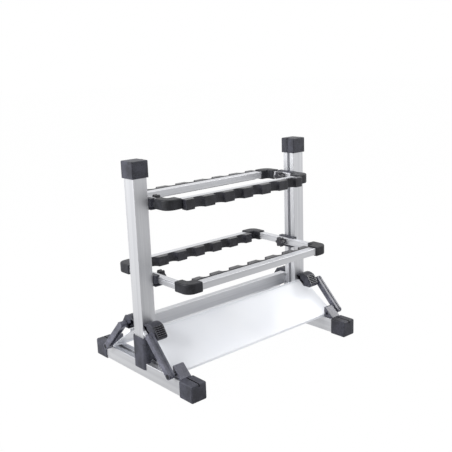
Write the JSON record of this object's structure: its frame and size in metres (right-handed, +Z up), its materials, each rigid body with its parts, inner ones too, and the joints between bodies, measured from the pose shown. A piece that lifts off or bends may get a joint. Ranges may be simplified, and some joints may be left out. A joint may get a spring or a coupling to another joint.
{
  "type": "fishing rod rack",
  "caption": "Free-standing rod rack: two T-slot uprights on foot rails, two height-adjustable notched frames, sloped butt plates and four latched braces.",
  "frame": {"origin": "on the floor, at the middle of the rack's footprint", "axes": "+X along the rack from the left upright to the right one, -Y towards the front, +Z up"},
  "size_m": [0.5058, 0.336, 0.4435],
  "materials": {
    "aluminium": "satin clear anodised extrusion",
    "black_plastic": "fine moulded texture, charcoal",
    "grey_plastic": "moulded, dark grey",
    "white_sheet": "glossy white powder coat on sheet",
    "steel": "zinc plated"
  },
  "bodies": {
    "root": {"rail_left": "aluminium", "rail_right": "aluminium", "upright_left": "aluminium", "upright_right": "aluminium", "top_cap_left": "black_plastic", "top_cap_right": "black_plastic", "foot_cap_front_left": "black_plastic", "foot_cap_front_right": "black_plastic", "foot_cap_rear_left": "black_plastic", "foot_cap_rear_right": "black_plastic", "base_bracket_left": "black_plastic", "base_bracket_right": "black_plastic", "crossbeam": "aluminium", "beam_plug_left": "aluminium", "beam_plug_right": "aluminium", "butt_plate_front": "white_sheet", "butt_plate_rear": "white_sheet", "base_screws": "steel", "base_slot_nuts": "steel", "latch_catches": "black_plastic", "brace_pins": "steel", "foot_block_front_left": "black_plastic", "foot_block_front_right": "black_plastic", "foot_block_rear_left": "black_plastic", "foot_block_rear_right": "black_plastic"},
    "upper_frame": {"upper_rail_front": "aluminium", "upper_rail_rear": "aluminium", "upper_end_left": "aluminium", "upper_end_right": "aluminium", "upper_elbows": "black_plastic", "upper_strip_front": "black_plastic", "upper_strip_rear": "black_plastic", "upper_slide_left": "black_plastic", "upper_slide_right": "black_plastic", "upper_slot_nuts": "steel", "upper_screws": "steel"},
    "upper_knob_left": {"upper_knob_left": "black_plastic"},
    "upper_knob_right": {"upper_knob_right": "black_plastic"},
    "lower_frame": {"lower_rail_front": "aluminium", "lower_rail_rear": "aluminium", "lower_end_left": "aluminium", "lower_end_right": "aluminium", "lower_elbows": "black_plastic", "lower_strip_front": "black_plastic", "lower_strip_rear": "black_plastic", "lower_slide_left": "black_plastic", "lower_slide_right": "black_plastic", "lower_slot_nuts": "steel", "lower_screws": "steel"},
    "lower_knob_left": {"lower_knob_left": "black_plastic"},
    "lower_knob_right": {"lower_knob_right": "black_plastic"},
    "brace_front_left": {"brace_bar_front_left": "grey_plastic"},
    "latch_front_left": {"latch_front_left": "black_plastic"},
    "brace_front_right": {"brace_bar_front_right": "grey_plastic"},
    "latch_front_right": {"latch_front_right": "black_plastic"},
    "brace_rear_left": {"brace_bar_rear_left": "grey_plastic"},
    "latch_rear_left": {"latch_rear_left": "black_plastic"},
    "brace_rear_right": {"brace_bar_rear_right": "grey_plastic"},
    "latch_rear_right": {"latch_rear_right": "black_plastic"}
  },
  "joints": [
    {"name": "upper_frame_slide", "type": "slide", "parent": "root", "child": "upper_frame", "axis": [0, 0, 1], "range_m": [-0.06, 0.038]},
    {"name": "lower_frame_slide", "type": "slide", "parent": "root", "child": "lower_frame", "axis": [0, 0, 1], "range_m": [-0.05, 0.04]},
    {"name": "upper_knob_left_turn", "type": "hinge", "parent": "upper_frame", "child": "upper_knob_left", "pos_m": [-0.175, 0, 0.35875], "axis": [1, 0, 0], "continuous": true},
    {"name": "upper_knob_right_turn", "type": "hinge", "parent": "upper_frame", "child": "upper_knob_right", "pos_m": [0.175, 0, 0.35875], "axis": [-1, 0, 0], "continuous": true},
    {"name": "lower_knob_left_turn", "type": "hinge", "parent": "lower_frame", "child": "lower_knob_left", "pos_m": [-0.175, 0, 0.20275], "axis": [1, 0, 0], "continuous": true},
    {"name": "lower_knob_right_turn", "type": "hinge", "parent": "lower_frame", "child": "lower_knob_right", "pos_m": [0.175, 0, 0.20275], "axis": [-1, 0, 0], "continuous": true},
    {"name": "brace_front_left_swing", "type": "hinge", "parent": "root", "child": "brace_front_left", "pos_m": [-0.247, -0.11282, 0.04306], "axis": [1, 0, 0], "range_deg": [0, 115]},
    {"name": "latch_front_left_lift", "type": "hinge", "parent": "brace_front_left", "child": "latch_front_left", "pos_m": [-0.223, -0.05319, 0.10506], "axis": [1, 0, 0], "range_deg": [0, 20]},
    {"name": "brace_front_right_swing", "type": "hinge", "parent": "root", "child": "brace_front_right", "pos_m": [0.247, -0.11282, 0.04306], "axis": [1, 0, 0], "range_deg": [0, 115]},
    {"name": "latch_front_right_lift", "type": "hinge", "parent": "brace_front_right", "child": "latch_front_right", "pos_m": [0.223, -0.05319, 0.10506], "axis": [1, 0, 0], "range_deg": [0, 20]},
    {"name": "brace_rear_left_swing", "type": "hinge", "parent": "root", "child": "brace_rear_left", "pos_m": [-0.247, 0.10821, 0.03862], "axis": [-1, 0, 0], "range_deg": [0, 115]},
    {"name": "latch_rear_left_lift", "type": "hinge", "parent": "brace_rear_left", "child": "latch_rear_left", "pos_m": [-0.223, 0.04511, 0.10422], "axis": [-1, 0, 0], "range_deg": [0, 20]},
    {"name": "brace_rear_right_swing", "type": "hinge", "parent": "root", "child": "brace_rear_right", "pos_m": [0.247, 0.10821, 0.03862], "axis": [-1, 0, 0], "range_deg": [0, 115]},
    {"name": "latch_rear_right_lift", "type": "hinge", "parent": "brace_rear_right", "child": "latch_rear_right", "pos_m": [0.223, 0.04511, 0.10422], "axis": [-1, 0, 0], "range_deg": [0, 20]}
  ]
}
